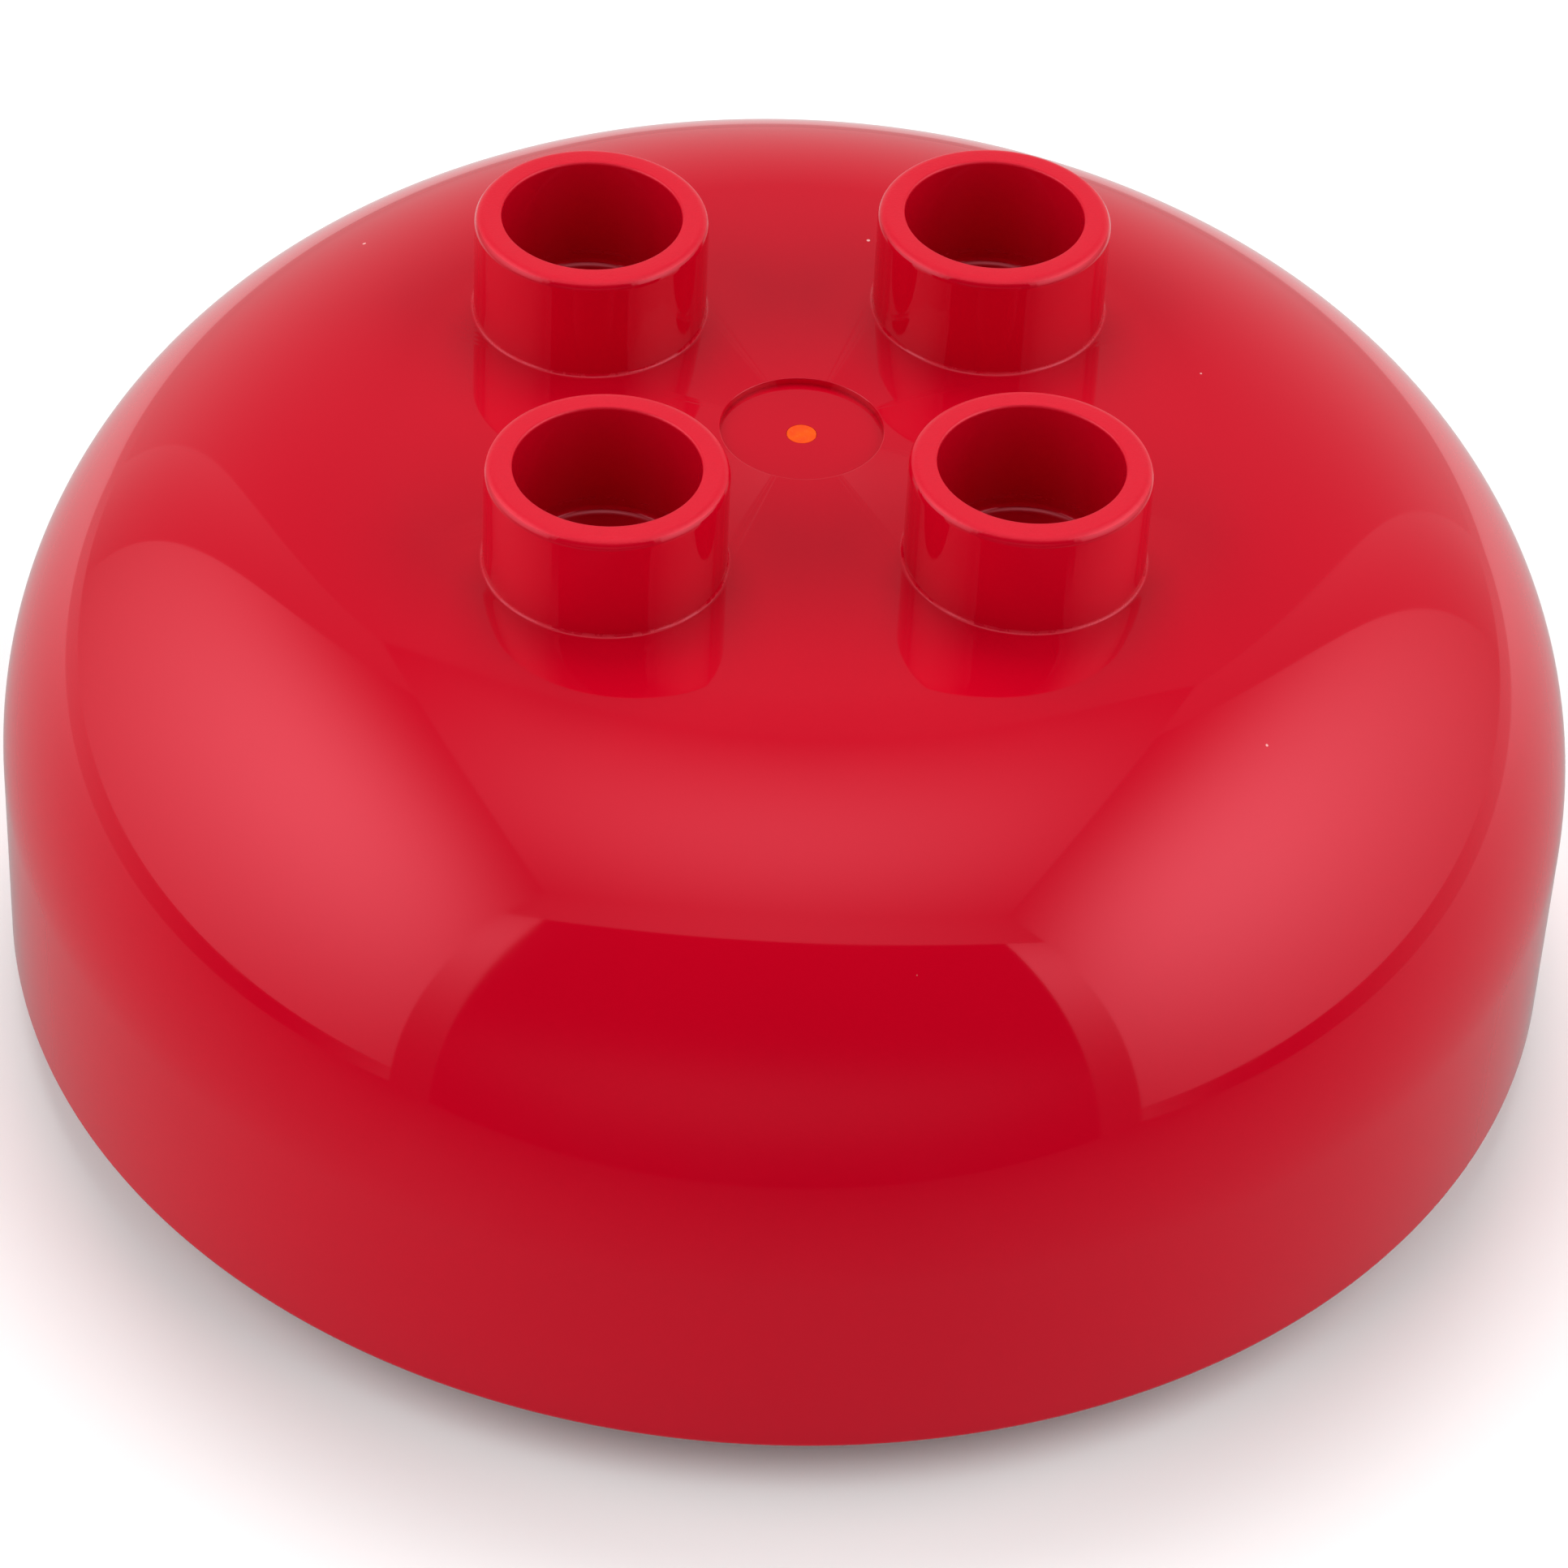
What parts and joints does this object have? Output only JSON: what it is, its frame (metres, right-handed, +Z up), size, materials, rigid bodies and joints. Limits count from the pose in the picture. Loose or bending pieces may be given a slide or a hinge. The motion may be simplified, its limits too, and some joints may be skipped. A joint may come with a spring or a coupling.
{
  "type": "quiz buzzer",
  "caption": "Low round push buzzer with a glossy domed shell, four hollow coupling studs on top and a lit centre dot; the whole shell is the button over a hidden base.",
  "frame": {"origin": "on the table under the middle of the round shell, at the underside of the rubber feet", "axes": "+Z up along the press axis, +X to the right and -Y towards the player, with the battery door on the +X side and the speaker on the -X side of the base"},
  "size_m": [0.0632, 0.0632, 0.0307],
  "materials": {
    "red_shell": "high-gloss moulded red, fine moulding texture on the stud rims",
    "amber_lens": "polished translucent amber",
    "lamp_epoxy": "clear amber epoxy",
    "base_plastic": "fine spark-eroded texture",
    "switch_black": "satin moulded black",
    "chip_epoxy": "matt moulded epoxy",
    "white_plastic": "satin natural acetal",
    "steel_screw": "bright zinc plating",
    "spring_steel": "drawn spring wire",
    "tinned": "tin plating",
    "nickel": "nickel plating",
    "cell_can": "brushed stainless can",
    "brass_insert": "turned and knurled",
    "ferrite": "sintered magnet, plated",
    "cone_film": "formed film",
    "board_green": "solder mask over glass laminate",
    "capacitor_sleeve": "bare can",
    "resistor_body": "glazed black with tinned ends",
    "ceramic_body": "fired ceramic with tinned ends",
    "rubber_black": "moulded black rubber",
    "foam_grey": "closed-cell foam",
    "wire_red": "insulated stranded wire",
    "wire_black": "insulated stranded wire"
  },
  "bodies": {
    "base": {"base_deck": "base_plastic", "base_screws": "steel_screw", "base_tray": "base_plastic", "battery_contact_negative": "nickel", "battery_contact_positive": "nickel", "battery_wire_black": "wire_black", "battery_wire_red": "wire_red", "board_screws": "steel_screw", "capacitor_leads": "tinned", "circuit_board": "board_green", "coin_cell": "cell_can", "damper_ring": "foam_grey", "door_inserts": "brass_insert", "driver_transistor": "chip_epoxy", "indicator_led": "lamp_epoxy", "led_leads": "tinned", "power_switch_case": "tinned", "power_switch_terminals": "tinned", "power_wire_in": "wire_black", "power_wire_out": "wire_red", "return_spring_front_left": "spring_steel", "return_spring_front_right": "spring_steel", "return_spring_rear_left": "spring_steel", "return_spring_rear_right": "spring_steel", "rubber_feet": "rubber_black", "smd_capacitors": "ceramic_body", "smd_resistors": "resistor_body", "smoothing_capacitor": "capacitor_sleeve", "sound_chip": "chip_epoxy", "sound_chip_legs": "tinned", "speaker_cone": "cone_film", "speaker_frame": "nickel", "speaker_gasket": "foam_grey", "speaker_magnet": "ferrite", "speaker_wire_black": "wire_black", "speaker_wire_red": "wire_red", "switch_case": "switch_black", "switch_terminals": "tinned"},
    "button": {"button_shell": "red_shell", "light_pipe": "amber_lens", "guide_screws": "steel_screw", "guide_washers": "steel_screw"},
    "trip_lever": {"switch_lever": "spring_steel"},
    "trip_pin": {"switch_pin": "white_plastic"},
    "power_knob": {"power_switch_slider": "white_plastic"},
    "battery_hatch": {"battery_door": "base_plastic", "door_screws": "steel_screw"}
  },
  "joints": [
    {"name": "press", "type": "slide", "parent": "base", "child": "button", "axis": [0, 0, -1], "range_m": [0, 0.0016], "stiffness_N_per_m": 2000, "springref_m": -0.0015, "deforming": ["return_spring_front_left", "return_spring_front_right", "return_spring_rear_left", "return_spring_rear_right"]},
    {"name": "lever_tilt", "type": "hinge", "parent": "base", "child": "trip_lever", "pos_m": [-0.0054, -0.0067, 0.01735], "axis": [0, 1, 0], "range_deg": [0, 10.2]},
    {"name": "pin_travel", "type": "slide", "parent": "base", "child": "trip_pin", "axis": [0, 0, -1], "range_m": [0, 0.00072]},
    {"name": "power_slide", "type": "slide", "parent": "base", "child": "power_knob", "axis": [1, 0, 0], "range_m": [0, 0.002]},
    {"name": "hatch_removal", "type": "slide", "parent": "base", "child": "battery_hatch", "axis": [0, 0, -1], "range_m": [0, 0.012]}
  ],
  "couplings": [
    {"joint": "lever_tilt", "follows": "press", "rad_per_m": 111.11},
    {"joint": "pin_travel", "follows": "press", "ratio": 0.44444}
  ]
}
